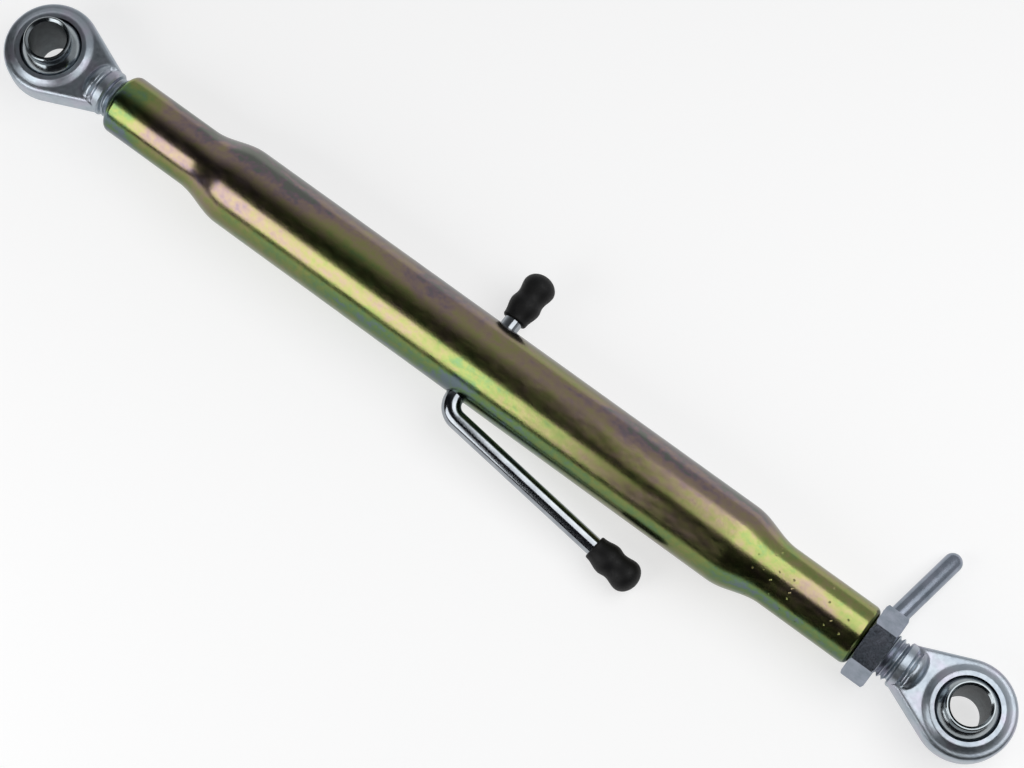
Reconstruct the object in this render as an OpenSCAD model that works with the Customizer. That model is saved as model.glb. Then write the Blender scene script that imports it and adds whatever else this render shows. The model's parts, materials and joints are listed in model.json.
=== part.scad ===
// Screw-adjusted tractor top link.
// Origin at the centre of the tractor ball, +X along the link, +Z along the pin bores.

/* [Tube] */
// Length of the tube between its two mouths
tube_length = 603; // [500:1:760]
// Outside diameter of the tube's body
tube_d = 57; // [54:0.5:64]
// Wall of the tube's body
tube_wall = 5.6; // [4:0.1:6.5]
// Outside diameter of the swaged necks
neck_d = 42.5; // [40:0.5:46]
// Length of each neck, from its mouth
neck_length = 66; // [50:1:72]
// Length of the swage between neck and body
taper_length = 36; // [28:1:48]
// Rounding of the mouth's outer edge
mouth_round = 4.6; // [2:0.2:5]

/* [Screw] */
// Outside diameter of the threaded shanks
shank_d = 30; // [27:0.5:32]
// Running clearance between a thread and its tapped bore, all round
thread_play = 0.08; // [0.03:0.01:0.1]
// Length of each shank inside the tube as stored
shank_inside = 200; // [180:1:220]
// Chamfer at the shank's inner end
shank_chamfer = 2; // [1:0.5:3]

/* [Ball] */
// Diameter of the swivel ball
ball_d = 46; // [44:0.5:48]
// Width of the ball across its two faces
ball_width = 51; // [46:0.5:56]
// Diameter of the ball's end collars
ball_collar_d = 31.5; // [30:0.5:32]
// Bore for the hitch pin
pin_bore_d = 25.7; // [19.3:0.1:26.5]
// Chamfer at each end of the pin bore
pin_bore_chamfer = 1.5; // [0.5:0.1:1.8]
// Running clearance between ball and socket, all round
ball_play = 0.15; // [0.05:0.01:0.3]

/* [Eye] */
// Outside diameter of the forged eye
eye_d = 65; // [62:0.5:70]
// Thickness of the eye at the socket's lip
eye_thickness = 24; // [22:0.5:27]
// Width of the flat lip round the socket
lip_width = 4.5; // [3:0.1:6]
// Width of the slope from the lip down to the web
lip_slope = 5; // [3:0.5:6]
// Thickness of the web
web_thickness = 19; // [16:0.5:21]
// Rounding of the web's edges
web_round = 3.5; // [3:0.5:7]
// Distance from the ball's centre to where the web has run out on the shank
web_length = 49.5; // [47:0.5:50.5]
// Width of the web where it runs out on the shank
web_end_width = 30; // [28:0.5:32]

/* [Forged neck] */
// Diameter of the forged neck behind the groove
forged_neck_d = 33; // [32.5:0.5:36]
// Length of the neck's rounded nose on the web
nose_length = 8; // [6:0.5:12]
// Distance from the ball's centre to the groove
groove_x = 40.5; // [36:0.5:41]
// Width of the groove
groove_width = 4.4; // [3:0.2:5]
// Depth of the groove
groove_depth = 2.2; // [1:0.1:2.6]
// Diameter of the collar between groove and thread
collar_d = 32.4; // [32:0.1:35]
// Width of that collar
collar_width = 5.5; // [4.5:0.1:6]
// Distance from the tractor ball's centre to the tube's mouth
tractor_reach = 58; // [56:0.5:70]
// Bare thread that the implement end shows beyond what the tractor end shows
nut_spare = 2; // [0:0.5:12]

/* [Lock nut] */
// Width of the lock nut across its flats
nut_flats = 46; // [44:0.5:50]
// Thickness of the lock nut
nut_thickness = 17; // [15:0.5:20]
// Chamfer on the nut's corners
nut_chamfer = 2; // [1:0.1:3]
// Diameter of the nut's lever
lever_d = 13; // [10:0.5:14]
// Depth of the lever's seat in the nut
lever_seat = 5; // [3:0.5:6]
// Clearance of the lever in its seat, all round
lever_seat_play = 0.05; // [0.02:0.01:0.1]
// Angle by which the lever leans away from the tube
lever_lean = 9; // [0:0.5:14]
// Length of the lever above the nut's flat
lever_length = 66; // [50:1:90]

/* [Handle] */
// Diameter of the bar
rod_d = 13; // [12:0.5:14]
// Clearance of the bar in the tube's cross hole, all round
rod_play = 0.3; // [0.2:0.05:0.6]
// Gap between the tube and the short arm's grip
short_gap = 6; // [2:0.1:12]
// Gap between the tube and the start of the bend
bend_gap = 0.3; // [0.3:0.1:6]
// Radius of the bend, on the bar's centre line
bend_r = 11.5; // [10:0.5:18]
// Angle by which the long arm spreads from the tube
arm_spread = 5.6; // [3:0.2:12]
// Length of the long arm between the bend and its grip
arm_length = 120; // [90:1:150]

/* [Grips] */
// Length of a grip
grip_length = 36.5; // [34:0.5:45]
// Diameter of a grip at its mouth
grip_mouth_d = 17.2; // [16.4:0.2:18]
// Rounding of the mouth's outer edge
grip_mouth_round = 1.4; // [0.6:0.2:1.6]
// Diameter of the swelling next to the mouth
grip_swell_d = 21.5; // [20:0.1:25]
// Distance from the mouth to the widest point of that swelling
grip_swell_at = 12.5; // [10:0.5:14]
// Diameter of the waist
grip_waist_d = 19.4; // [18:0.2:22]
// Distance from the mouth to the waist
grip_waist_at = 18.5; // [17:0.5:21]
// Diameter of the rounded head
grip_head_d = 22.3; // [20:0.1:26]
// Distance from the mouth to the widest point of the head
grip_head_at = 27.5; // [26:0.5:30]
// Depth of the bar inside a grip
grip_seat = 27; // [20:0.5:29]
// Clearance of the bar in a grip, all round
grip_play = 0.05; // [0.02:0.01:0.1]

/* [Hidden] */
$fn = 72;

// Points along a curved stretch of a profile
curve_steps = 10;
// Facets round a shape that is only hulled
hull_facets = 32;
// How far a cut runs past the face that it leaves
past = 1;
// How far the bar's straight parts run into the bend
bend_overlap = 0.3;
// How far the bend's surface stands out from theirs, so that they join in a clean edge
bend_step = 0.05;

zinc = "#a9b0b8";
passivated = "#a3a54a";
bright = "#d5d8dc";
moulded = "#1d1d1f";

tube_r = tube_d / 2;
neck_r = neck_d / 2;
shank_r = shank_d / 2;
tapped_r = shank_r + thread_play;
ball_r = ball_d / 2;
rod_r = rod_d / 2;
lever_r = lever_d / 2;
mouth_x = tractor_reach;
far_mouth_x = mouth_x + tube_length;
middle_x = mouth_x + tube_length / 2;
implement_reach = tractor_reach + nut_thickness + nut_spare;
implement_x = far_mouth_x + implement_reach;

// The grip's head and the lever's tip lie on the surface that the tube lies on
bend_angle = 90 - arm_spread;
bend_y = -tube_r - bend_gap;
head_x = bend_r * (1 - cos(bend_angle)) + (arm_length + grip_head_at) * cos(arm_spread);
handle_droop = asin((tube_r - grip_head_d / 2) / head_x);
lever_tip_y = nut_flats / 2 + (lever_length - lever_r) * cos(lever_lean);
lever_droop = asin((tube_r - lever_r) / lever_tip_y);

// A value that leaves a and reaches b without a corner, for t from 0 to 1
function ease(a, b, t) = a + (b - a) * (1 - cos(180 * t)) / 2;

// Points of an eased stretch from [r, x] to [r, x]
function eased(from, to) = [
    for (i = [0 : curve_steps])
        let (t = i / curve_steps) [ease(from[0], to[0], t), from[1] + (to[1] - from[1]) * t]
];

// Points of an arc about a centre, from one angle to another
function arc(centre, r, from, to) = [
    for (i = [0 : curve_steps])
        let (a = from + (to - from) * i / curve_steps) centre + r * [cos(a), sin(a)]
];

// The same points seen from the tube's far mouth, in reverse order
function from_far_mouth(points) = [
    for (i = [len(points) - 1 : -1 : 0]) [points[i][0], tube_length - points[i][1]]
];

// Turns a profile of [r, x] points about the link's axis
module about_axis(points) {
    rotate([0, 90, 0]) rotate_extrude() polygon(points);
}

// The tube, swaged to a neck at each end and tapped there
module tube() {
    shoulder = neck_length + taper_length;
    outside = concat(
        arc([neck_r - mouth_round, mouth_round], mouth_round, -90, 0),
        eased([neck_r, neck_length], [tube_r, shoulder])
    );
    inside = concat(
        [[tapped_r, 0]],
        eased([tapped_r, neck_length], [tube_r - tube_wall, shoulder])
    );
    wall = concat(
        outside,
        from_far_mouth(outside),
        [for (p = inside) [p[0], tube_length - p[1]]],
        [for (i = [len(inside) - 1 : -1 : 0]) inside[i]]
    );
    color(passivated) difference() {
        translate([mouth_x, 0, 0]) about_axis(wall);
        translate([middle_x, 0, 0]) rotate([90, 0, 0])
            cylinder(r = rod_r + rod_play, h = tube_d + 2 * past, center = true);
    }
}

// The eye's rim, with rounded edges, before it is drawn out into the web
module eye_rim() {
    edge_r = eye_d / 2 - web_round;
    edge_z = web_thickness / 2 - web_round;
    rotate_extrude($fn = hull_facets * 2) polygon(concat(
        [[0, -web_thickness / 2]],
        arc([edge_r, -edge_z], web_round, -90, 0),
        arc([edge_r, edge_z], web_round, 0, 90),
        [[0, web_thickness / 2]]
    ));
}

// The raised boss round the socket
module eye_boss() {
    socket_r = ball_r + ball_play;
    mouth_r = sqrt(pow(socket_r, 2) - pow(eye_thickness / 2, 2));
    lip_r = mouth_r + lip_width;
    half = eye_thickness / 2;
    foot = web_thickness / 2 - past;
    slope = [
        for (p = eased([half, lip_r], [foot, lip_r + lip_slope])) [p[1], p[0]]
    ];
    rotate_extrude() polygon(concat(
        [[0, half]],
        slope,
        [for (i = [len(slope) - 1 : -1 : 0]) [slope[i][0], -slope[i][1]]],
        [[0, -half]]
    ));
}

// The forged neck and the shank, reaching from the eye to the given distance
module forged_neck(end_x) {
    neck_end = forged_neck_d / 2;
    groove_end = groove_x + groove_width;
    collar_end = groove_end + collar_width;
    nose = [
        for (i = [0 : curve_steps])
            let (a = 90 * i / curve_steps)
                [neck_end * sin(a), groove_x - 0.5 - nose_length * cos(a)]
    ];
    groove = [
        for (i = [0 : curve_steps])
            let (t = i / curve_steps)
                [
                    neck_end + (collar_d / 2 - neck_end) * t - groove_depth * sin(180 * t),
                    groove_x + groove_width * t
                ]
    ];
    about_axis(concat(
        nose,
        groove,
        [
            [collar_d / 2, collar_end - 1],
            [shank_r, collar_end],
            [shank_r, end_x - shank_chamfer],
            [shank_r - shank_chamfer, end_x],
            [0, end_x]
        ]
    ));
}

// One ball end's forging, with the ball's centre at the origin and the shank along +X
module spindle(reach) {
    color(zinc) difference() {
        union() {
            hull() {
                eye_rim();
                translate([web_length - web_thickness / 2, 0, 0]) rotate([90, 0, 0])
                    cylinder(d = web_thickness, h = web_end_width, center = true, $fn = hull_facets);
            }
            eye_boss();
            forged_neck(reach + shank_inside);
        }
        sphere(r = ball_r + ball_play);
    }
}

// One swivel ball with its collars and pin bore
module ball() {
    half = ball_width / 2;
    color(bright) difference() {
        union() {
            sphere(r = ball_r);
            cylinder(d = ball_collar_d, h = ball_width, center = true);
        }
        // the sphere reaches no further than the faces
        for (side = [0, 1]) mirror([0, 0, side]) {
            translate([0, 0, half]) cylinder(d = ball_d + past, h = ball_d);
            translate([0, 0, half - pin_bore_chamfer])
                cylinder(
                    r1 = pin_bore_d / 2,
                    r2 = pin_bore_d / 2 + pin_bore_chamfer + past,
                    h = pin_bore_chamfer + past
                );
        }
        cylinder(d = pin_bore_d, h = ball_width + 2 * past, center = true);
    }
}

module tractor_spindle() {
    spindle(tractor_reach);
}

module tractor_ball() {
    ball();
}

module implement_spindle() {
    translate([implement_x, 0, 0]) mirror([1, 0, 0]) spindle(implement_reach);
}

module implement_ball() {
    translate([implement_x, 0, 0]) ball();
}

// Places what belongs to the lock nut, drawn with the lever along +Y
module at_nut() {
    translate([far_mouth_x, 0, 0]) rotate([-lever_droop, 0, 0]) children();
}

// Places what stands on the nut's flat, drawn along +Z and leaning as the lever does
module at_lever() {
    at_nut() translate([nut_thickness / 2, nut_flats / 2, 0]) rotate([0, 0, -lever_lean])
        rotate([-90, 0, 0]) children();
}

// The hexagon nut that is run against the tube's mouth
module lock_nut() {
    corner_r = nut_flats / 2 / cos(30);
    color(zinc) difference() {
        at_nut() difference() {
            intersection() {
                rotate([0, 90, 0]) cylinder(r = corner_r, h = nut_thickness, $fn = 6);
                about_axis([
                    [0, 0],
                    [corner_r - nut_chamfer, 0],
                    [corner_r, nut_chamfer / 2],
                    [corner_r, nut_thickness - nut_chamfer / 2],
                    [corner_r - nut_chamfer, nut_thickness],
                    [0, nut_thickness]
                ]);
            }
            translate([-past, 0, 0]) rotate([0, 90, 0])
                cylinder(r = tapped_r, h = nut_thickness + 2 * past);
        }
        at_lever() translate([0, 0, -lever_seat])
            cylinder(r = lever_r + lever_seat_play, h = lever_seat + lever_d);
    }
}

// The round lever in the nut, leaning away from the tube
module lock_nut_lever() {
    color(zinc) at_lever() rotate_extrude() polygon(concat(
        [[0, -lever_seat], [lever_r, -lever_seat]],
        arc([0, lever_length - lever_r], lever_r, 0, 90)
    ));
}

// Places what belongs to the handle, drawn with the bar's straight part along Y
module at_handle() {
    translate([middle_x, 0, 0]) rotate([0, handle_droop, 0]) children();
}

// Places what lies on the long arm, drawn along +X from the end of the bend
module at_long_arm() {
    translate([bend_r, bend_y, 0]) rotate([0, 0, -arm_spread]) translate([0, -bend_r, 0])
        children();
}

// The bent bar through the tube
module handle_rod() {
    short_end = tube_r + short_gap + grip_seat;
    color(bright) at_handle() {
        translate([0, bend_y - bend_overlap, 0]) rotate([-90, 0, 0])
            cylinder(r = rod_r, h = short_end - bend_y + bend_overlap);
        translate([bend_r, bend_y, 0]) rotate([0, 0, 180])
            rotate_extrude(angle = bend_angle) translate([bend_r, 0])
                circle(r = rod_r + bend_step);
        at_long_arm() translate([-bend_overlap, 0, 0]) rotate([0, 90, 0])
            cylinder(r = rod_r, h = arm_length + grip_seat + bend_overlap);
    }
}

// One moulded grip, standing on its mouth
module grip() {
    head_r = grip_head_d / 2;
    dome = [
        for (i = [1 : curve_steps])
            let (a = 90 * i / curve_steps)
                [head_r * cos(a), grip_head_at + (grip_length - grip_head_at) * sin(a)]
    ];
    color(moulded) difference() {
        rotate_extrude() polygon(concat(
            [[0, 0]],
            arc([grip_mouth_d / 2 - grip_mouth_round, grip_mouth_round], grip_mouth_round, -90, 0),
            eased([grip_mouth_d / 2, grip_mouth_round], [grip_swell_d / 2, grip_swell_at]),
            eased([grip_swell_d / 2, grip_swell_at], [grip_waist_d / 2, grip_waist_at]),
            eased([grip_waist_d / 2, grip_waist_at], [head_r, grip_head_at]),
            dome
        ));
        translate([0, 0, -past]) cylinder(r = rod_r + grip_play, h = grip_seat + past);
    }
}

module long_arm_grip() {
    at_handle() at_long_arm() translate([arm_length, 0, 0]) rotate([0, 90, 0]) grip();
}

module short_arm_grip() {
    at_handle() translate([0, tube_r + short_gap, 0]) rotate([-90, 0, 0]) grip();
}

tube();
tractor_spindle();
tractor_ball();
implement_spindle();
implement_ball();
lock_nut();
lock_nut_lever();
handle_rod();
long_arm_grip();
short_arm_grip();
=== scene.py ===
"""A screw-adjusted tractor top link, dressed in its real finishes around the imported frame."""
import json
import math

import bmesh
import bpy
from mathutils import Matrix, Vector


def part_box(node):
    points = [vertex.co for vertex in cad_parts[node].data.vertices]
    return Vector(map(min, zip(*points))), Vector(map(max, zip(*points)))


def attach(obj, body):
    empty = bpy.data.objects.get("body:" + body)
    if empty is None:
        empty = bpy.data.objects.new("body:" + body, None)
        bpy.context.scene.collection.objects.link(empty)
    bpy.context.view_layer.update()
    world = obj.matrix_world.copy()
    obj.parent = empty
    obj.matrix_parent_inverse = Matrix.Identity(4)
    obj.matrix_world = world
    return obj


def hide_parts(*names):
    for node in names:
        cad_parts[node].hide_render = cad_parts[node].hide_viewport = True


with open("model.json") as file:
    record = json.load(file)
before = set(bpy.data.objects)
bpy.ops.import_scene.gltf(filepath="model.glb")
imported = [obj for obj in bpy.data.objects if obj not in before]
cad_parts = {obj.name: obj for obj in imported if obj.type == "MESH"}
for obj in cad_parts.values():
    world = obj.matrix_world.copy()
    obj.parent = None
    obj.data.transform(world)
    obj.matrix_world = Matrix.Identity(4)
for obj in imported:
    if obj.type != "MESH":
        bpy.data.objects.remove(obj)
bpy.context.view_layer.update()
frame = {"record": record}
scene = bpy.context.scene
MM = 0.001

# Places that the frame gives
TUBE_LOW, TUBE_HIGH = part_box("tube")
MOUTH_X = TUBE_LOW[0]
FAR_MOUTH_X = TUBE_HIGH[0]
MIDDLE_X = (MOUTH_X + FAR_MOUTH_X) / 2
TUBE_R = TUBE_HIGH[1]
NUT_LOW, NUT_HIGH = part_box("lock_nut")
NUT_THICKNESS = NUT_HIGH[0] - NUT_LOW[0]
IMPLEMENT_X = {m["name"]: m["pos_m"] for m in frame["record"]["mounts"]}["implement_pin_bore"][0]

# Tube
WALL = 5.6 * MM
NECK_R = 21.25 * MM
NECK_LENGTH = 66 * MM
TAPER_LENGTH = 36 * MM
MOUTH_ROUND = 4.6 * MM
TAPPED_R = 15.08 * MM

# Threaded shanks
SHANK_R = 15 * MM
SHANK_INSIDE = 200 * MM
THREAD_LEAD = 3.5 * MM
THREAD_DEPTH = 2.1 * MM

# Swivel balls
BALL_R = 23 * MM
BALL_HALF_WIDTH = 25.5 * MM
BALL_COLLAR_R = 15.75 * MM
PIN_BORE_R = 12.85 * MM
PIN_BORE_CHAMFER = 1.5 * MM

# Forged eyes
SOCKET_R = 23.15 * MM
EYE_R = 32.5 * MM
EYE_HALF = 12 * MM
LIP_R = math.sqrt(SOCKET_R ** 2 - EYE_HALF ** 2) + 4.5 * MM
LIP_SLOPE = 5 * MM
WEB_HALF = 9.5 * MM
WEB_ROUND = 3.5 * MM
WEB_LENGTH = 49.5 * MM
WEB_END_HALF_WIDTH = 15 * MM
FORGED_NECK_R = 16.5 * MM
NOSE_LENGTH = 8 * MM
GROOVE_X = 40.5 * MM
GROOVE_WIDTH = 4.4 * MM
GROOVE_DEPTH = 2.2 * MM
COLLAR_R = 16.2 * MM
COLLAR_END_X = 50.4 * MM

# Lock nut and lever
NUT_FLATS = 46 * MM
NUT_CHAMFER = 2 * MM
LEVER_R = 6.5 * MM
LEVER_LENGTH = 66 * MM
LEVER_SEAT = 5 * MM
LEVER_LEAN = math.radians(9)
WELD_R = 1.7 * MM

# Turning bar
ROD_R = 6.5 * MM
ROD_HOLE_R = 6.8 * MM
SHORT_GAP = 6 * MM
BEND_Y = -TUBE_R - 0.3 * MM
BEND_R = 11.5 * MM
ARM_SPREAD = math.radians(5.6)
ARM_LENGTH = 120 * MM

# Places along the link where the tube's chromate film changes, as (from, to)
GREEN_UNTIL = (76 * MM, 94 * MM)
ROSY_UNTIL = (170 * MM, 270 * MM)
ROSY_AGAIN_FROM = (420 * MM, 500 * MM)
ROSY_AGAIN_UNTIL = (540 * MM, 580 * MM)
BODY_UNTIL = (570 * MM, 590 * MM)

# Grips
GRIP_SEAT = 27 * MM
GRIP_LENGTH = 36.5 * MM
GRIP_MOUTH_ROUND = 1.4 * MM
# each as (distance from the grip's mouth, radius)
GRIP_MOUTH = (GRIP_MOUTH_ROUND, 8.6 * MM)
GRIP_SWELL = (12.5 * MM, 10.75 * MM)
GRIP_WAIST = (18.5 * MM, 9.7 * MM)
GRIP_HEAD = (27.5 * MM, 11.15 * MM)

# The handle and the lever droop until they lie on the surface that the tube lies on
HEAD_X = BEND_R * (1 - math.sin(ARM_SPREAD)) + (ARM_LENGTH + GRIP_HEAD[0]) * math.cos(ARM_SPREAD)
HANDLE_DROOP = math.asin((TUBE_R - GRIP_HEAD[1]) / HEAD_X)
LEVER_TIP_Y = NUT_FLATS / 2 + (LEVER_LENGTH - LEVER_R) * math.cos(LEVER_LEAN)
LEVER_DROOP = math.asin((TUBE_R - LEVER_R) / LEVER_TIP_Y)

# Turned shapes are drawn along X, then turned and moved by these
UPRIGHT = Matrix.Rotation(math.radians(-90), 4, "Y")
ACROSS = Matrix.Rotation(math.radians(90), 4, "Z")
AT_IMPLEMENT = Matrix.Translation((IMPLEMENT_X, 0, 0)) @ Matrix.Scale(-1, 4, (1, 0, 0))
AT_NUT = Matrix.Translation((FAR_MOUTH_X, 0, 0)) @ Matrix.Rotation(-LEVER_DROOP, 4, "X")
AT_LEVER = (
    AT_NUT @ Matrix.Translation((NUT_THICKNESS / 2, NUT_FLATS / 2, 0))
    @ Matrix.Rotation(-LEVER_LEAN, 4, "Z") @ ACROSS
)
AT_HANDLE = Matrix.Translation((MIDDLE_X, 0, 0)) @ Matrix.Rotation(HANDLE_DROOP, 4, "Y")
AT_LONG_ARM = (
    AT_HANDLE @ Matrix.Translation((BEND_R, BEND_Y, 0)) @ Matrix.Rotation(-ARM_SPREAD, 4, "Z")
    @ Matrix.Translation((0, -BEND_R, 0))
)
AT_SHORT_GRIP = AT_HANDLE @ Matrix.Translation((0, TUBE_R + SHORT_GAP, 0)) @ ACROSS


def camera():
    """Looks down on the link as the photograph does, with the tractor end at the upper left."""
    towards = Vector((0.162, -0.20, 0.966)).normalized()
    along = (Vector((1, 0, 0)) - towards * towards.x).normalized()
    across = towards.cross(along)
    slope = math.radians(35.84)
    right = along * math.cos(slope) + across * math.sin(slope)
    up = towards.cross(right)
    place = Vector((0.384, 0, 0)) + towards * 1.714
    data = bpy.data.cameras.new("camera")
    data.sensor_width = 36
    data.lens = 93.16
    data.clip_end = 50
    viewer = bpy.data.objects.new("camera", data)
    viewer.matrix_world = Matrix(
        [(right[i], up[i], towards[i], place[i]) for i in range(3)] + [(0, 0, 0, 1)]
    )
    scene.collection.objects.link(viewer)
    scene.camera = viewer


def linear(code):
    """An sRGB hex colour as linear red, green and blue, with alpha."""
    parts = [int(code[i:i + 2], 16) / 255 for i in (1, 3, 5)]
    return [c / 12.92 if c <= 0.04045 else ((c + 0.055) / 1.055) ** 2.4 for c in parts] + [1.0]


def add(tree, kind, inputs=None, stops=None, **settings):
    """A node with its settings, its inputs (each a value, a socket or a node) and a ramp's stops."""
    node = tree.nodes.new(kind)
    for name, value in settings.items():
        setattr(node, name, value)
    for socket, value in (inputs or {}).items():
        if isinstance(value, bpy.types.Node):
            value = value.outputs[0]
        if isinstance(value, bpy.types.NodeSocket):
            tree.links.new(value, node.inputs[socket])
        else:
            node.inputs[socket].default_value = value
    for i, (place, code) in enumerate(stops or ()):
        elements = node.color_ramp.elements
        element = elements[i] if i < 2 else elements.new(1.0)
        element.position = place
        element.color = linear(code)
    return node


def new_material(name, **values):
    """A material, its tree, its shader with these plain values, and its Object coordinates."""
    finish = bpy.data.materials.new(name)
    finish.use_nodes = True
    tree = finish.node_tree
    shader = tree.nodes["Principled BSDF"]
    for socket, value in values.items():
        shader.inputs[socket.replace("_", " ")].default_value = value
    where = add(tree, "ShaderNodeTexCoord").outputs["Object"]
    return finish, tree, shader, where


def film_thickness(tree, where, drawn, along, round_to, body):
    """How thick the tube's chromate film is: its trends along and round the tube, its patches and
    its blotches."""
    # it is thick and rosy on the tractor end's half of the tube and again before the far neck,
    # thins to lime between and beyond, and is green at the tractor end's mouth
    rosy = add(tree, "ShaderNodeMapRange", {
        0: along, 1: ROSY_UNTIL[0], 2: ROSY_UNTIL[1], 3: 0.2, 4: 0.0})
    mouth = add(tree, "ShaderNodeMapRange", {
        0: along, 1: GREEN_UNTIL[0], 2: GREEN_UNTIL[1], 3: -0.45, 4: 0})
    rises = add(tree, "ShaderNodeMapRange", {
        0: along, 1: ROSY_AGAIN_FROM[0], 2: ROSY_AGAIN_FROM[1], 3: 0, 4: 0.28})
    falls = add(tree, "ShaderNodeMapRange", {
        0: along, 1: ROSY_AGAIN_UNTIL[0], 2: ROSY_AGAIN_UNTIL[1], 3: 0.28, 4: 0})
    again = add(tree, "ShaderNodeMath", {0: rises, 1: falls}, operation="MINIMUM")
    # it is greener down the side that hung lowest in the bath, and mauve to grey on the other, as
    # far as the implement end's neck
    hung = add(tree, "ShaderNodeMapRange", {0: round_to, 1: -0.82, 2: -0.64, 3: -0.34, 4: 0})
    grey = add(tree, "ShaderNodeMapRange", {0: round_to, 1: 0.1, 2: 1.0, 3: 0, 4: 0.38})
    grey = add(tree, "ShaderNodeMath", {0: grey, 1: body}, operation="MULTIPLY")
    sides = add(tree, "ShaderNodeMath", {0: hung, 1: grey})
    # patches about 90 mm long and 28 mm round drift over it, with blotches of about 6 mm
    patches = add(tree, "ShaderNodeTexNoise", {
        "Vector": drawn, "Scale": 1 / (28 * MM), "Detail": 3, "Roughness": 0.55, "Distortion": 0.5})
    patches = add(tree, "ShaderNodeMapRange", {0: patches, 1: 0.3, 2: 0.7, 3: 0.2, 4: 0.68})
    mottle = add(tree, "ShaderNodeTexNoise", {
        "Vector": where, "Scale": 1 / (6 * MM), "Detail": 5, "Roughness": 0.7})
    mottle = add(tree, "ShaderNodeMapRange", {0: mottle, 1: 0.36, 2: 0.64, 3: -0.1, 4: 0.14})
    film = rosy
    for share in (mouth, again, sides, patches, mottle):
        film = add(tree, "ShaderNodeMath", {0: film, 1: share})
    return film


def yellow_passivated_steel():
    """Drawn steel tube, zinc plated and yellow chromated: a satin metal whose thin film drifts
    between violet, rose, straw, lime and sea green in patches drawn out along the tube."""
    finish, tree, shader, where = new_material("yellow_passivated_steel", Metallic=1.0)
    drawn = add(tree, "ShaderNodeMapping", {"Vector": where, "Scale": (0.3, 1, 1)})
    place = add(tree, "ShaderNodeSeparateXYZ", {0: where}).outputs
    # 1 on the tube's body and 0 on the implement end's neck
    body = add(tree, "ShaderNodeMapRange", {
        0: place[0], 1: BODY_UNTIL[0], 2: BODY_UNTIL[1], 3: 1.0, 4: 0.0})
    # how far round to a side, from -1 on the handle's to 1 on the other
    section = add(tree, "ShaderNodeCombineXYZ", {1: place[1], 2: place[2]})
    radius = add(tree, "ShaderNodeVectorMath", {0: section}, operation="LENGTH").outputs["Value"]
    round_to = add(tree, "ShaderNodeMath", {0: place[1], 1: radius}, operation="DIVIDE")
    film = film_thickness(tree, where, drawn, place[0], round_to, body)
    colours = add(tree, "ShaderNodeValToRGB", {0: film}, stops=(
        (0.0, "#74848a"), (0.15, "#71905f"), (0.35, "#8a9558"), (0.5, "#979363"),
        (0.65, "#9c8c73"), (0.8, "#96827c"), (0.92, "#85767e"), (1.0, "#757871"),
    ))
    # painted shade: on the tube's body the side away from the handle is mixed towards a dark
    # grey-green, standing in for the shade down that side
    high_side_shade = add(tree, "ShaderNodeMapRange", {0: round_to, 1: 0.55, 2: 0.95, 3: 0, 4: 0.55})
    high_side_shade = add(tree, "ShaderNodeMath", {0: high_side_shade, 1: body}, operation="MULTIPLY")
    high_side_shaded = add(tree, "ShaderNodeMix", {0: high_side_shade, 6: colours, 7: linear("#62665c")},
                 data_type="RGBA").outputs[2]
    # painted shade: the colour is darkened down both sides of the tube, towards its outline
    lean = add(tree, "ShaderNodeMath", {0: round_to}, operation="ABSOLUTE")
    shade = add(tree, "ShaderNodeMapRange", {0: lean, 1: 0.72, 2: 0.97, 3: 1.0, 4: 0.5})
    side_shaded = add(tree, "ShaderNodeVectorMath", {0: high_side_shaded, "Scale": shade}, operation="SCALE")
    tree.links.new(side_shaded.outputs[0], shader.inputs["Base Color"])
    haze = add(tree, "ShaderNodeTexNoise", {"Vector": drawn, "Scale": 1 / (3 * MM), "Detail": 3})
    dull = add(tree, "ShaderNodeMapRange", {0: haze, 1: 0.3, 2: 0.7, 3: 0.18, 4: 0.26})
    tree.links.new(dull.outputs[0], shader.inputs["Roughness"])
    # grain of the drawn steel under the plating, about 1 mm
    grain = add(tree, "ShaderNodeTexNoise", {"Vector": where, "Scale": 1 / (1.0 * MM), "Detail": 2})
    relief = add(tree, "ShaderNodeBump", {"Height": grain, "Distance": 0.03 * MM, "Strength": 1})
    # pits about 1.5 mm across on the implement end's neck, left by the swaging dies
    cells = add(tree, "ShaderNodeTexVoronoi", {"Vector": where, "Scale": 1 / (6 * MM)})
    pit = add(tree, "ShaderNodeMapRange", {0: cells.outputs["Distance"], 1: 0.04, 2: 0.14})
    depth = add(tree, "ShaderNodeMath", {0: pit, 1: body}, operation="MAXIMUM")
    pitted = add(tree, "ShaderNodeBump", {
        "Height": depth, "Distance": 0.3 * MM, "Strength": 1, "Normal": relief})
    tree.links.new(pitted.outputs[0], shader.inputs["Normal"])
    return finish


def blue_zinc_forging():
    """Drop-forged steel, zinc plated and blue passivated: a cool, softly mottled grey metal that
    breaks a highlight into small glints."""
    finish, tree, shader, where = new_material("blue_zinc_forging", Metallic=1.0)
    cloud = add(tree, "ShaderNodeTexNoise", {"Vector": where, "Scale": 1 / (14 * MM), "Detail": 3})
    colours = add(tree, "ShaderNodeValToRGB", {0: cloud}, stops=(
        (0.3, "#a0aab4"), (0.5, "#adb6be"), (0.7, "#b5b4c1"),
    ))
    tree.links.new(colours.outputs[0], shader.inputs["Base Color"])
    skin = add(tree, "ShaderNodeTexNoise", {
        "Vector": where, "Scale": 1 / (2.5 * MM), "Detail": 4, "Roughness": 0.6})
    dull = add(tree, "ShaderNodeMapRange", {0: skin, 1: 0.3, 2: 0.7, 3: 0.32, 4: 0.45})
    tree.links.new(dull.outputs[0], shader.inputs["Roughness"])
    relief = add(tree, "ShaderNodeBump", {"Height": skin, "Distance": 0.1 * MM, "Strength": 1})
    tree.links.new(relief.outputs[0], shader.inputs["Normal"])
    return finish


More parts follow.
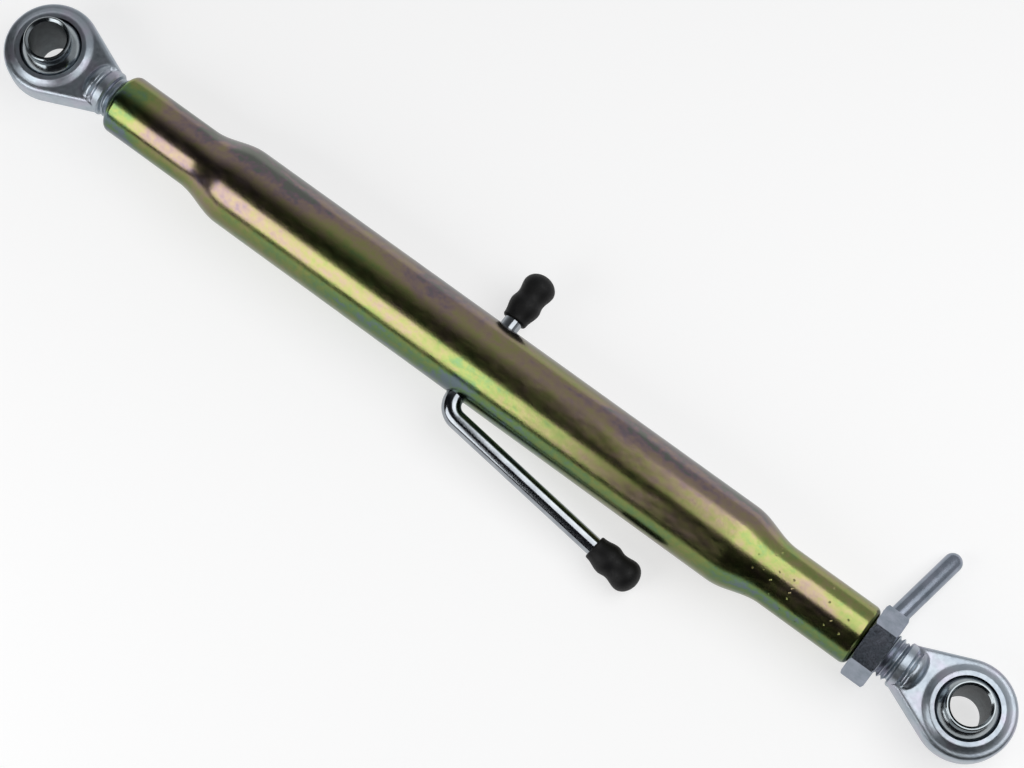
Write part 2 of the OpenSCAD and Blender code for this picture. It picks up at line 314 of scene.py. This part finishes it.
def bright_zinc(name, dark, light, shine, grain):
    """Turned or drawn steel under bright zinc: nearly a mirror, faintly clouded, with a grain of
    this height."""
    finish, tree, shader, where = new_material(name, Metallic=1.0)
    cloud = add(tree, "ShaderNodeTexNoise", {"Vector": where, "Scale": 1 / (9 * MM), "Detail": 3})
    colours = add(tree, "ShaderNodeValToRGB", {0: cloud}, stops=((0.3, dark), (0.7, light)))
    tree.links.new(colours.outputs[0], shader.inputs["Base Color"])
    fine = add(tree, "ShaderNodeTexNoise", {"Vector": where, "Scale": 1 / (1.0 * MM), "Detail": 2})
    dull = add(tree, "ShaderNodeMapRange", {0: fine, 1: 0.3, 2: 0.7, 3: shine, 4: shine + 0.08})
    tree.links.new(dull.outputs[0], shader.inputs["Roughness"])
    relief = add(tree, "ShaderNodeBump", {"Height": fine, "Distance": grain, "Strength": 1})
    tree.links.new(relief.outputs[0], shader.inputs["Normal"])
    return finish


def bored_steel():
    """The pin bore: a dark grey that paints the shade inside the bore, with fine turning marks round
    it that are drawn 0.8 mm apart so that they show."""
    finish, tree, shader, where = new_material("bored_steel", Metallic=1.0)
    cloud = add(tree, "ShaderNodeTexNoise", {"Vector": where, "Scale": 1 / (8 * MM), "Detail": 3})
    # painted shade: the bore's colour is kept darker than the ball's, standing in for the shade
    # inside the bore
    colours = add(tree, "ShaderNodeValToRGB", {0: cloud}, stops=((0.3, "#484d50"), (0.7, "#5c6366")))
    tree.links.new(colours.outputs[0], shader.inputs["Base Color"])
    marks = add(tree, "ShaderNodeTexWave", {
        "Vector": where, "Scale": 0.314 / (0.8 * MM), "Distortion": 1.5, "Detail": 2},
        bands_direction="Z")
    dull = add(tree, "ShaderNodeMapRange", {0: marks, 3: 0.45, 4: 0.6})
    tree.links.new(dull.outputs[0], shader.inputs["Roughness"])
    relief = add(tree, "ShaderNodeBump", {"Height": marks, "Distance": 0.02 * MM, "Strength": 1})
    tree.links.new(relief.outputs[0], shader.inputs["Normal"])
    return finish


def moulded_vinyl():
    """Moulded black vinyl, satin, with a fine dull skin."""
    finish, tree, shader, where = new_material("moulded_vinyl", Specular_IOR_Level=0.3)
    tone = add(tree, "ShaderNodeTexNoise", {"Vector": where, "Scale": 1 / (6 * MM), "Detail": 2})
    colours = add(tree, "ShaderNodeValToRGB", {0: tone}, stops=((0.3, "#0a0a0b"), (0.7, "#0f0f10")))
    tree.links.new(colours.outputs[0], shader.inputs["Base Color"])
    skin = add(tree, "ShaderNodeTexNoise", {"Vector": where, "Scale": 1 / (1.2 * MM), "Detail": 3})
    dull = add(tree, "ShaderNodeMapRange", {0: skin, 1: 0.3, 2: 0.7, 3: 0.5, 4: 0.64})
    tree.links.new(dull.outputs[0], shader.inputs["Roughness"])
    relief = add(tree, "ShaderNodeBump", {"Height": skin, "Distance": 0.03 * MM, "Strength": 1})
    tree.links.new(relief.outputs[0], shader.inputs["Normal"])
    return finish


def arc(centre, r, start, end, steps=10):
    """Points of an arc about a point, in degrees."""
    turns = [math.radians(start + (end - start) * i / steps) for i in range(steps + 1)]
    return [(centre[0] + r * math.cos(a), centre[1] + r * math.sin(a)) for a in turns]


def eased(start, end, steps=14):
    """Points of a stretch that leaves one point and reaches the next without a corner."""
    return [
        (start[0] + (end[0] - start[0]) * t,
         start[1] + (end[1] - start[1]) * (1 - math.cos(math.pi * t)) / 2)
        for t in (i / steps for i in range(steps + 1))
    ]


def turned(profile, segments=96, closed=False, longest=8 * MM):
    """A solid turned about X from (x, r) points; a point with no radius becomes a pole."""
    points = [profile[0]]
    for a, b in zip(profile, profile[1:]):
        n = max(1, math.ceil(math.dist(a, b) / longest)) if min(a[1], b[1]) > 0 else 1
        points += [(a[0] + (b[0] - a[0]) * i / n, a[1] + (b[1] - a[1]) * i / n)
                   for i in range(1, n + 1)]
    points = [p for i, p in enumerate(points) if i == 0 or math.dist(p, points[i - 1]) > 1e-7]
    solid = bmesh.new()
    rings = [
        [solid.verts.new((x, r * math.cos(a), r * math.sin(a)))
         for a in (2 * math.pi * i / segments for i in range(segments if r > 0 else 1))]
        for x, r in points
    ]
    for one, two in zip(rings, rings[1:] + (rings[:1] if closed else [])):
        for i in range(segments):
            j = (i + 1) % segments
            corners = [one[i % len(one)], one[j % len(one)], two[j % len(two)], two[i % len(two)]]
            solid.faces.new(list(dict.fromkeys(corners)))
    bmesh.ops.recalc_face_normals(solid, faces=solid.faces)
    return solid


def mesh_of(name, *parts):
    """One mesh of several (solid, matrix) parts."""
    whole = bmesh.new()
    for solid, matrix in parts:
        part = bpy.data.meshes.new("part")
        solid.transform(matrix)
        if matrix.determinant() < 0:
            bmesh.ops.reverse_faces(solid, faces=solid.faces)
        solid.to_mesh(part)
        solid.free()
        whole.from_mesh(part)
        bpy.data.meshes.remove(part)
    mesh = bpy.data.meshes.new(name)
    whole.to_mesh(mesh)
    whole.free()
    return mesh


def worked(mesh, *steps):
    """The mesh after a stack of modifiers, each given as (kind, settings)."""
    blank = bpy.data.objects.new("blank", mesh)
    scene.collection.objects.link(blank)
    for kind, settings in steps:
        modifier = blank.modifiers.new(kind.lower(), kind)
        for name, value in settings.items():
            setattr(modifier, name, value)
    result = bpy.data.meshes.new_from_object(
        blank.evaluated_get(bpy.context.evaluated_depsgraph_get()))
    bpy.data.objects.remove(blank)
    return result


def combined(mesh, *tools, operation="DIFFERENCE"):
    """The mesh with other meshes cut from it, or kept in common with it."""
    for tool_mesh in tools:
        tool = bpy.data.objects.new("tool", tool_mesh)
        scene.collection.objects.link(tool)
        mesh = worked(mesh, ("BOOLEAN", {"object": tool, "operation": operation, "solver": "EXACT"}))
        bpy.data.objects.remove(tool)
    return mesh


def shaded(mesh, degrees=35):
    """Smooth shading, with a crisp edge where two faces meet at a larger angle."""
    solid = bmesh.new()
    solid.from_mesh(mesh)
    for face in solid.faces:
        face.smooth = True
    for edge in solid.edges:
        edge.smooth = len(edge.link_faces) == 2 and edge.calc_face_angle(0) < math.radians(degrees)
    solid.to_mesh(mesh)
    solid.free()
    return mesh


def piece(name, mesh, finish, slot, body, *nodes):
    """A finished piece that rides on a body and stands for these nodes."""
    for one in finish if isinstance(finish, tuple) else (finish,):
        mesh.materials.append(one)
    made = bpy.data.objects.new(name, mesh)
    scene.collection.objects.link(made)
    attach(made, body)
    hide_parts(*nodes)


def tube(finish):
    """The swaged tube, with the cross hole for the turning bar."""
    shoulder = NECK_LENGTH + TAPER_LENGTH
    length = FAR_MOUTH_X - MOUTH_X
    outside = arc((MOUTH_ROUND, NECK_R - MOUTH_ROUND), MOUTH_ROUND, 180, 90) + eased(
        (NECK_LENGTH, NECK_R), (shoulder, TUBE_R), 24)
    inside = [(0, TAPPED_R)] + eased((NECK_LENGTH, TAPPED_R), (shoulder, TUBE_R - WALL))
    profile = (
        outside + [(length - x, r) for x, r in reversed(outside)]
        + [(length - x, r) for x, r in inside] + list(reversed(inside))
    )
    wall = mesh_of("wall", (turned(profile, 144, True), Matrix.Translation((MOUTH_X, 0, 0))))
    past = TUBE_R * 1.2
    drill = turned([(-past, 0), (-past, ROD_HOLE_R), (past, ROD_HOLE_R), (past, 0)], 64)
    mesh = combined(wall, mesh_of("drill", (drill, AT_HANDLE @ ACROSS)))
    piece("tube_skin", shaded(mesh), finish, "passivated_steel", "tube", "tube")


def thread_tree():
    """Winds a closed screw thread about X, with the first and last pitch run out to the root."""
    tree = bpy.data.node_groups.new("screw_thread", "GeometryNodeTree")
    for name, kind in (
        ("Root Radius", "Float"), ("Depth", "Float"), ("Lead", "Float"), ("Start", "Float"),
        ("Turns", "Int"), ("Segments", "Int"), ("Finish", "Material"),
    ):
        tree.interface.new_socket(name, in_out="INPUT", socket_type="NodeSocket" + kind)
    tree.interface.new_socket("Thread", in_out="OUTPUT", socket_type="NodeSocketGeometry")
    size = add(tree, "NodeGroupInput").outputs
    # a strip whose X runs round the helix and whose Y runs across one pitch
    steps = add(tree, "ShaderNodeMath", {0: size["Turns"], 1: size["Segments"], 2: 1.0},
                operation="MULTIPLY_ADD")
    strip = add(tree, "GeometryNodeMeshGrid", {0: 1.0, 1: 1.0, 2: steps, 3: 9})
    spot = add(tree, "ShaderNodeSeparateXYZ", {0: add(tree, "GeometryNodeInputPosition")})
    turn = add(tree, "ShaderNodeMapRange", {0: spot.outputs[0], 1: -0.5, 4: size["Turns"]})
    across = add(tree, "ShaderNodeMath", {0: spot.outputs[1], 1: 0.5})
    along = add(tree, "ShaderNodeMath", {0: turn, 1: across})
    held = add(tree, "ShaderNodeClamp", {0: along, 1: 1.0, 2: size["Turns"]})
    before = add(tree, "ShaderNodeMath", {0: held, 1: 1.0}, operation="SUBTRACT")
    after = add(tree, "ShaderNodeMath", {0: size["Turns"], 1: held}, operation="SUBTRACT")
    nearer = add(tree, "ShaderNodeMath", {0: before, 1: after}, operation="MINIMUM")
    fade = add(tree, "ShaderNodeMath", {0: nearer, 1: 1.0}, operation="MINIMUM")
    # flanks of 60 degrees with a narrow flat at crest and root
    peak = add(tree, "ShaderNodeMath", {0: across, 1: 0.5}, operation="PINGPONG")
    flank = add(tree, "ShaderNodeMapRange", {0: peak, 1: 0.06, 2: 0.43})
    raised = add(tree, "ShaderNodeMath", {0: flank, 1: fade}, operation="MULTIPLY")
    radius = add(tree, "ShaderNodeMath", {0: raised, 1: size["Depth"], 2: size["Root Radius"]},
                 operation="MULTIPLY_ADD")
    angle = add(tree, "ShaderNodeMath", {0: turn, 1: 2 * math.pi}, operation="MULTIPLY")
    sides = [
        add(tree, "ShaderNodeMath", {
            0: radius, 1: add(tree, "ShaderNodeMath", {0: angle}, operation=way)},
            operation="MULTIPLY")
        for way in ("COSINE", "SINE")
    ]
    place = add(tree, "ShaderNodeMath", {0: before, 1: size["Lead"], 2: size["Start"]},
                operation="MULTIPLY_ADD")
    wound = add(tree, "ShaderNodeCombineXYZ", {0: place, 1: sides[0], 2: sides[1]})
    helix = add(tree, "GeometryNodeSetPosition", {"Geometry": strip, "Position": wound})
    # a disc closes each end
    disc = add(tree, "GeometryNodeMeshCircle", {0: size["Segments"], 1: size["Root Radius"]},
               fill_type="NGON")
    pitches = add(tree, "ShaderNodeMath", {0: size["Turns"], 1: 1.0}, operation="SUBTRACT")
    last = add(tree, "ShaderNodeMath", {0: pitches, 1: size["Lead"], 2: size["Start"]},
               operation="MULTIPLY_ADD")
    ends = [
        add(tree, "GeometryNodeTransform", {
            "Geometry": disc, "Rotation": (0, math.radians(90), 0),
            "Translation": add(tree, "ShaderNodeCombineXYZ", {0: x})})
        for x in (size["Start"], last)
    ]
    whole = add(tree, "GeometryNodeJoinGeometry")
    for part in (helix, *ends):
        tree.links.new(part.outputs[0], whole.inputs[0])
    welded = add(tree, "GeometryNodeMergeByDistance", {"Geometry": whole, "Distance": 0.01 * MM})
    real = add(tree, "GeometryNodeRealizeInstances", {0: welded})
    dressed = add(tree, "GeometryNodeSetMaterial", {0: real, "Material": size["Finish"]})
    add(tree, "NodeGroupOutput", {0: dressed})
    return tree


def thread(tree, start, length, finish):
    """The closed thread of one shank."""
    wound = bpy.data.objects.new("thread", bpy.data.meshes.new("thread"))
    scene.collection.objects.link(wound)
    winder = wound.modifiers.new("winder", "NODES")
    winder.node_group = tree
    sizes = {
        "Root Radius": SHANK_R - THREAD_DEPTH, "Depth": THREAD_DEPTH, "Lead": THREAD_LEAD,
        "Start": start, "Turns": int(length / THREAD_LEAD) + 1, "Segments": 48, "Finish": finish,
    }
    for socket in tree.interface.items_tree:
        if socket.in_out == "INPUT":
            winder[socket.identifier] = sizes[socket.name]
    result = bpy.data.meshes.new_from_object(
        wound.evaluated_get(bpy.context.evaluated_depsgraph_get()))
    bpy.data.objects.remove(wound)
    solid = bmesh.new()
    solid.from_mesh(result)
    bmesh.ops.recalc_face_normals(solid, faces=solid.faces)
    return solid


def forged_eye():
    """Eye, web and neck drawn together as one blended forging, with the socket cut into it."""
    edge = WEB_HALF - WEB_ROUND
    rim = (
        [(-WEB_HALF, 0)] + arc((-edge, EYE_R - WEB_ROUND), WEB_ROUND, 180, 90)
        + arc((edge, EYE_R - WEB_ROUND), WEB_ROUND, 90, 0) + [(WEB_HALF, 0)]
    )
    web = bmesh.new()
    end = [(-WEB_END_HALF_WIDTH, 0), (-WEB_END_HALF_WIDTH, WEB_HALF), (WEB_END_HALF_WIDTH, WEB_HALF),
           (WEB_END_HALF_WIDTH, 0)]
    for profile, matrix in ((rim, UPRIGHT), (end, Matrix.Translation(
            (WEB_LENGTH - WEB_HALF, 0, 0)) @ ACROSS)):
        solid = turned(profile, 96, longest=1)
        for vert in solid.verts:
            web.verts.new(matrix @ vert.co)
        solid.free()
    hull = bmesh.ops.convex_hull(web, input=web.verts)
    loose = [e for e in hull["geom_interior"] + hull["geom_unused"]
             if isinstance(e, bmesh.types.BMVert) and e.is_valid]
    bmesh.ops.delete(web, geom=list(dict.fromkeys(loose)), context="VERTS")
    slope = eased((EYE_HALF, LIP_R), (WEB_HALF - 1 * MM, LIP_R + LIP_SLOPE))
    boss = turned([(-EYE_HALF, 0)] + [(-x, r) for x, r in slope] + slope[::-1] + [(EYE_HALF, 0)])
    nose = [(GROOVE_X - 0.5 * MM - NOSE_LENGTH * math.cos(a), FORGED_NECK_R * math.sin(a))
            for a in (math.radians(90 * i / 12) for i in range(13))]
    neck = turned(nose + [(GROOVE_X + 0.4 * MM, FORGED_NECK_R), (GROOVE_X + 0.4 * MM, 0)])
    same = Matrix.Identity(4)
    rough = mesh_of("forging", (web, same), (boss, UPRIGHT), (neck, same))
    blended = worked(
        rough,
        ("REMESH", {"mode": "VOXEL", "voxel_size": 0.8 * MM}),
        ("SMOOTH", {"factor": 0.5, "iterations": 5}),
    )
    # the socket opens into a narrow crimping gap behind each lip
    gap = math.asin((EYE_HALF - 2 * MM) / SOCKET_R)
    side = [(EYE_HALF - 2 * MM, SOCKET_R * math.cos(gap)), (EYE_HALF - 1.6 * MM, LIP_R - 3.4 * MM),
            (SOCKET_R, LIP_R - 3.4 * MM), (SOCKET_R, 0)]
    middle = arc((0, 0), SOCKET_R, 90 + math.degrees(gap), 90 - math.degrees(gap), 40)
    socket = turned([(-x, r) for x, r in side[::-1]] + middle[1:-1] + side, 144, longest=1)
    cut = combined(blended, mesh_of("socket", (socket, UPRIGHT)))
    solid = bmesh.new()
    solid.from_mesh(cut)
    return solid


def spindle(name, reach, place, finish, threads):
    """One ball end's forging and threaded shank, drawn for the tractor end."""
    groove = [
        (GROOVE_X + GROOVE_WIDTH * t,
         FORGED_NECK_R + (COLLAR_R - FORGED_NECK_R) * t - GROOVE_DEPTH * math.sin(math.pi * t))
        for t in (i / 12 for i in range(1, 13))
    ]
    core_r = SHANK_R - THREAD_DEPTH - 0.2 * MM
    end_x = reach + SHANK_INSIDE
    core = turned([
        (GROOVE_X - 1 * MM, 0), (GROOVE_X - 1 * MM, groove[0][1]), *groove,
        (COLLAR_END_X - 1 * MM, COLLAR_R), (COLLAR_END_X, SHANK_R), (COLLAR_END_X, core_r),
        (end_x - 1 * MM, core_r), (end_x, core_r - 1 * MM), (end_x, 0),
    ])
    ridge = thread(threads, COLLAR_END_X - 0.5 * MM, end_x - COLLAR_END_X - 0.6 * MM, finish)
    mesh = mesh_of(name, (forged_eye(), place), (core, place), (ridge, place))
    body = name.replace("spindle", "end")
    piece(name + "_skin", shaded(mesh), finish, "zinc_steel", body, name)


def ball(name, x, finish):
    """One swivel ball, with its collars and its chamfered pin bore."""
    meet = math.sqrt(BALL_R ** 2 - BALL_COLLAR_R ** 2)
    swing = math.degrees(math.acos(meet / BALL_R))
    end = BALL_HALF_WIDTH
    bevel = 0.7 * MM
    side = [(end - bevel, BALL_COLLAR_R), (end, BALL_COLLAR_R - bevel),
            (end, PIN_BORE_R + PIN_BORE_CHAMFER), (end - PIN_BORE_CHAMFER, PIN_BORE_R)]
    profile = (
        arc((0, 0), BALL_R, 180 - swing, swing, 60) + side + [(-x, r) for x, r in side[::-1]]
    )
    solid = turned(profile, 128, True)
    for face in solid.faces:
        face.material_index = int(max(math.hypot(v.co.y, v.co.z) for v in face.verts)
                                  < PIN_BORE_R + 0.1 * MM)
    place = Matrix.Translation((x, 0, 0)) @ UPRIGHT
    piece(name + "_skin", shaded(mesh_of(name, (solid, place))), finish, "bright_steel", name, name)


def lock_nut(finish):
    """The hexagon nut that is run against the tube's mouth."""
    corner = NUT_FLATS / 2 / math.cos(math.radians(30))
    t = NUT_THICKNESS
    blank = turned([(0, 0), (0, corner), (t, corner), (t, 0)], 6, longest=1)
    cone = turned([(0, 0), (0, corner - NUT_CHAMFER), (NUT_CHAMFER / 2, corner + 0.01 * MM),
                   (t - NUT_CHAMFER / 2, corner + 0.01 * MM), (t, corner - NUT_CHAMFER), (t, 0)], 96)
    sink = 1.2 * MM
    bore = turned([(-MM, 0), (-MM, TAPPED_R + sink + MM), (sink, TAPPED_R), (t - sink, TAPPED_R),
                   (t + MM, TAPPED_R + sink + MM), (t + MM, 0)], 96)
    flat_up = Matrix.Rotation(math.radians(30), 4, "X")
    mesh = combined(mesh_of("nut", (blank, AT_NUT @ flat_up)), mesh_of("cone", (cone, AT_NUT)),
                    operation="INTERSECT")
    mesh = combined(mesh, mesh_of("bore", (bore, AT_NUT)))
    piece("lock_nut_skin", shaded(mesh, 15), finish, "zinc_steel", "lock_nut", "lock_nut")


def lock_nut_lever(finish):
    """The round lever and the weld bead at its foot."""
    lever = turned([(-LEVER_SEAT, 0), (-LEVER_SEAT, LEVER_R)] + arc(
        (LEVER_LENGTH - LEVER_R, 0), LEVER_R, 90, 0, 14)[:-1] + [(LEVER_LENGTH, 0)], 64)
    bead = turned(arc((0, LEVER_R + 0.4 * MM), WELD_R, 0, 360, 16)[:-1], 144, True)
    for vert in bead.verts:
        # ripples about 1.6 mm apart, as the weld was laid
        around = math.atan2(vert.co.z, vert.co.y)
        swell = 1 + 0.1 * math.sin(28 * around) + 0.08 * math.sin(3 * around + 1)
        hub = Vector((0, math.cos(around), math.sin(around))) * (LEVER_R + 0.4 * MM)
        vert.co = hub + (vert.co - hub) * swell
    mesh = mesh_of("lever", (lever, AT_LEVER), (bead, AT_LEVER))
    piece("lock_nut_lever_skin", shaded(mesh), finish, "zinc_steel", "lock_nut", "lock_nut_lever")


def handle_rod(finish):
    """The drawn bar through the tube, bent round to lie along it."""
    short_end = TUBE_R + SHORT_GAP + GRIP_SEAT
    spine = [(0, short_end - (short_end - BEND_Y) * i / 10) for i in range(10)]
    spine += arc((BEND_R, BEND_Y), BEND_R, 180, 270 - math.degrees(ARM_SPREAD), 24)
    heading = Vector((math.cos(ARM_SPREAD), -math.sin(ARM_SPREAD)))
    foot = Vector(spine[-1])
    spine += [tuple(foot + heading * (ARM_LENGTH + GRIP_SEAT) * i / 14) for i in range(1, 15)]
    bar = bmesh.new()
    rings = []
    for i, (x, y) in enumerate(spine):
        before = Vector(spine[max(i - 1, 0)])
        after = Vector(spine[min(i + 1, len(spine) - 1)])
        side = (after - before).normalized()
        side = Vector((-side.y, side.x, 0))
        rings.append([
            bar.verts.new(Vector((x, y, 0)) + ROD_R * (side * math.cos(a) + Vector(
                (0, 0, math.sin(a))))) for a in (2 * math.pi * k / 64 for k in range(64))
        ])
    for one, two in zip(rings, rings[1:]):
        for i in range(64):
            bar.faces.new((one[i], one[(i + 1) % 64], two[(i + 1) % 64], two[i]))
    bar.faces.new(rings[0])
    bar.faces.new(rings[-1])
    bmesh.ops.recalc_face_normals(bar, faces=bar.faces)
    mesh = mesh_of("bar", (bar, AT_HANDLE))
    piece("handle_rod_skin", shaded(mesh), finish, "bright_steel", "handle", "handle_rod")


def grip(name, place, finish):
    """One moulded grip, with its parting line."""
    bore = ROD_R + 0.05 * MM
    dome = [
        (GRIP_HEAD[0] + (GRIP_LENGTH - GRIP_HEAD[0]) * math.sin(a), GRIP_HEAD[1] * math.cos(a))
        for a in (math.radians(90 * i / 20) for i in range(1, 20))
    ]
    profile = (
        [(GRIP_SEAT, 0), (GRIP_SEAT, bore), (0, bore)]
        + arc((GRIP_MOUTH[0], GRIP_MOUTH[1] - GRIP_MOUTH_ROUND), GRIP_MOUTH_ROUND, 180, 90, 8)
        + eased(GRIP_MOUTH, GRIP_SWELL)[1:] + eased(GRIP_SWELL, GRIP_WAIST)[1:]
        + eased(GRIP_WAIST, GRIP_HEAD)[1:] + dome + [(GRIP_LENGTH, 0)]
    )
    solid = turned(profile, 96, longest=1.5 * MM)
    for vert in solid.verts:
        r = math.hypot(vert.co.y, vert.co.z)
        if abs(vert.co.z) < 1e-6 and r > bore + 0.5 * MM:
            vert.co.y *= 1 + 0.12 * MM / r
    piece(name + "_skin", shaded(mesh_of(name, (solid, place)), 60), finish, "moulded_grip",
          "handle", name)


def floor():
    """A plain white sweep that the link lies on: it keeps the shadow and shows white."""
    finish = bpy.data.materials.new("white_paper")
    finish.use_nodes = True
    tree = finish.node_tree
    tree.nodes.clear()
    path = add(tree, "ShaderNodeLightPath").outputs
    seen = add(tree, "ShaderNodeMath", {0: path["Is Camera Ray"], 1: path["Is Glossy Ray"]},
               operation="MAXIMUM")
    seen = add(tree, "ShaderNodeMath", {0: seen, 1: path["Is Transmission Ray"]},
               operation="MAXIMUM")
    paper = add(tree, "ShaderNodeBsdfDiffuse", {"Color": linear("#b0b0b0")})
    glow = add(tree, "ShaderNodeEmission", {
        "Color": linear("#ffffff"),
        "Strength": add(tree, "ShaderNodeMath", {0: seen, 1: 0.66}, operation="MULTIPLY")})
    both = add(tree, "ShaderNodeAddShader", {0: paper, 1: glow})
    add(tree, "ShaderNodeOutputMaterial", {0: both})
    sheet = bmesh.new()
    bmesh.ops.create_grid(sheet, x_segments=1, y_segments=1, size=12)
    mesh = mesh_of("floor", (sheet, Matrix.Translation((MIDDLE_X, 0, TUBE_LOW[2]))))
    mesh.materials.append(finish)
    ground = bpy.data.objects.new("floor", mesh)
    scene.collection.objects.link(ground)


def studio():
    """White walls for the camera, and for the metal a dim far wall, a dark ceiling and two soft
    boxes: one low on the handle's side, one overhead at the implement end."""
    world = bpy.data.worlds.new("studio")
    scene.world = world
    world.use_nodes = True
    tree = world.node_tree
    tree.nodes.clear()
    way = add(tree, "ShaderNodeTexCoord").outputs["Generated"]
    parts = add(tree, "ShaderNodeSeparateXYZ", {0: way}).outputs
    side = add(tree, "ShaderNodeMath", {0: parts[1], 1: -1.0}, operation="MULTIPLY")
    # angle from straight up towards the handle's side, as a share of the whole turn
    angle = add(tree, "ShaderNodeMath", {0: side, 1: parts[2]}, operation="ARCTAN2")
    share = add(tree, "ShaderNodeMapRange", {0: angle, 1: -math.pi, 2: math.pi})
    around = add(tree, "ShaderNodeValToRGB", {0: share}, stops=(
        (0.26, "#b3b4b6"), (0.38, "#b3b4b6"), (0.433, "#7c7d7f"), (0.481, "#2e2f31"),
        (0.51, "#1a1b1e"), (0.74, "#1a1b1e"),
    ))
    room = add(tree, "ShaderNodeBackground", {0: around, 1: 1.0})
    white = add(tree, "ShaderNodeBackground", {0: linear("#ffffff"), 1: 1.0})
    seen = add(tree, "ShaderNodeLightPath").outputs["Is Camera Ray"]
    both = add(tree, "ShaderNodeMixShader", {0: seen, 1: room, 2: white})
    add(tree, "ShaderNodeOutputWorld", {0: both})
    # each box: its middle along the link, its lean from upright towards the handle's side,
    # its length, its width and how bright its face is
    for name, middle, lean, length, width, bright in (
        ("low_box", -0.155, 54.5, 0.93, 0.79, 2.5),
        ("high_box", 0.98, -17, 1.06, 1.02, 2.0),
    ):
        lamp = bpy.data.lights.new(name, "AREA")
        lamp.shape = "RECTANGLE"
        lamp.size = length
        lamp.size_y = width
        lamp.energy = math.pi * length * width * bright
        box = bpy.data.objects.new(name, lamp)
        box.matrix_world = (
            Matrix.Translation((middle, 0, 0)) @ Matrix.Rotation(math.radians(lean), 4, "X")
            @ Matrix.Translation((0, 0, 1.0))
        )
        box.visible_camera = False
        scene.collection.objects.link(box)


camera()
scene.view_settings.view_transform = "Standard"
studio()
floor()
forging = blue_zinc_forging()
polished = bright_zinc("bright_zinc_ball", "#8f979c", "#a9b0b3", 0.12, 0.01 * MM)
drawn = bright_zinc("bright_drawn_bar", "#8f949a", "#a6abb0", 0.1, 0.004 * MM)
plated = bright_zinc("blue_zinc_nut", "#7d8792", "#979daa", 0.17, 0.002 * MM)
bore_shade_finish = bored_steel()
vinyl = moulded_vinyl()
threads = thread_tree()
tube(yellow_passivated_steel())
spindle("tractor_spindle", MOUTH_X, Matrix.Identity(4), forging, threads)
spindle("implement_spindle", IMPLEMENT_X - FAR_MOUTH_X, AT_IMPLEMENT, forging, threads)
ball("tractor_ball", 0.0, (polished, bore_shade_finish))
ball("implement_ball", IMPLEMENT_X, (polished, bore_shade_finish))
lock_nut(plated)
lock_nut_lever(plated)
handle_rod(drawn)
grip("long_arm_grip", AT_LONG_ARM @ Matrix.Translation((ARM_LENGTH, 0, 0)), vinyl)
grip("short_arm_grip", AT_SHORT_GRIP, vinyl)
